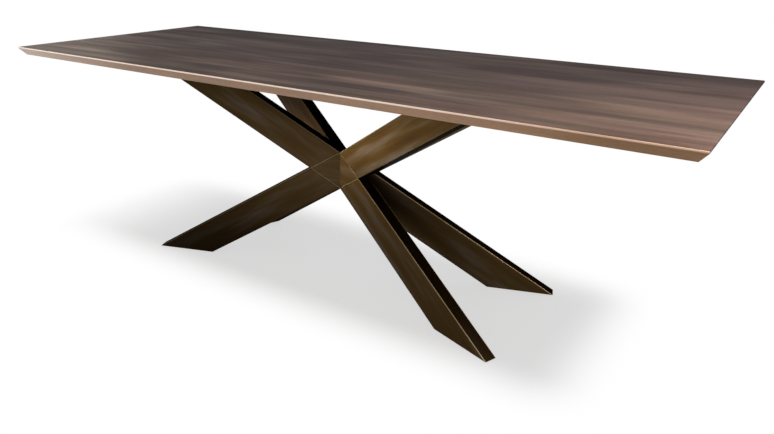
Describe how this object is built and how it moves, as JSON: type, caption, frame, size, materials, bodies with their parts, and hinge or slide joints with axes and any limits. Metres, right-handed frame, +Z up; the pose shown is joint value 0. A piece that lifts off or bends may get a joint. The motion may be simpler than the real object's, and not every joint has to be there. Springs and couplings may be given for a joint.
{
  "type": "dining table",
  "caption": "Long dining table: an undercut solid walnut top glued up from boards on a welded base of crossing bronze box-section arms that spread from a hub to screwed glides.",
  "frame": {"origin": "on the floor, under the middle of the top", "axes": "+X along the table's length, +Y across it towards the back, +Z up"},
  "size_m": [2.4, 0.9, 0.76],
  "materials": {
    "walnut": "satin lacquered walnut",
    "beech": "bare compressed beech",
    "bronze_steel": "dark bronze patina on steel, satin lacquer",
    "black_steel": "black powder coat",
    "zinc_steel": "zinc plated",
    "brass": "turned brass",
    "nylon": "black nylon"
  },
  "bodies": {
    "table": {"board_biscuits": "beech", "channel_screws": "zinc_steel", "foot_nuts": "zinc_steel", "foot_plate_back_left": "bronze_steel", "foot_plate_back_right": "bronze_steel", "foot_plate_front_left": "bronze_steel", "foot_plate_front_right": "bronze_steel", "hub": "bronze_steel", "lower_arm_back_left": "bronze_steel", "lower_arm_back_right": "bronze_steel", "lower_arm_front_left": "bronze_steel", "lower_arm_front_right": "bronze_steel", "mounting_plate_back_left": "bronze_steel", "mounting_plate_back_right": "bronze_steel", "mounting_plate_front_left": "bronze_steel", "mounting_plate_front_right": "bronze_steel", "plate_screws": "zinc_steel", "plate_washers": "zinc_steel", "stiffener_channel_left": "black_steel", "stiffener_channel_middle": "black_steel", "stiffener_channel_right": "black_steel", "threaded_inserts": "brass", "top_board_1": "walnut", "top_board_2": "walnut", "top_board_3": "walnut", "top_board_4": "walnut", "top_board_5": "walnut", "top_board_6": "walnut", "top_board_7": "walnut", "top_board_8": "walnut", "upper_arm_back_left": "bronze_steel", "upper_arm_back_right": "bronze_steel", "upper_arm_front_left": "bronze_steel", "upper_arm_front_right": "bronze_steel"},
    "glide_front_left": {"glide_stem_front_left": "zinc_steel", "glide_pad_front_left": "nylon"},
    "glide_front_right": {"glide_stem_front_right": "zinc_steel", "glide_pad_front_right": "nylon"},
    "glide_back_left": {"glide_stem_back_left": "zinc_steel", "glide_pad_back_left": "nylon"},
    "glide_back_right": {"glide_stem_back_right": "zinc_steel", "glide_pad_back_right": "nylon"}
  },
  "joints": [
    {"name": "level_front_left", "type": "slide", "parent": "table", "child": "glide_front_left", "axis": [0, 0, -1], "range_m": [0, 0.012]},
    {"name": "level_front_right", "type": "slide", "parent": "table", "child": "glide_front_right", "axis": [0, 0, -1], "range_m": [0, 0.012]},
    {"name": "level_back_left", "type": "slide", "parent": "table", "child": "glide_back_left", "axis": [0, 0, -1], "range_m": [0, 0.012]},
    {"name": "level_back_right", "type": "slide", "parent": "table", "child": "glide_back_right", "axis": [0, 0, -1], "range_m": [0, 0.012]}
  ]
}
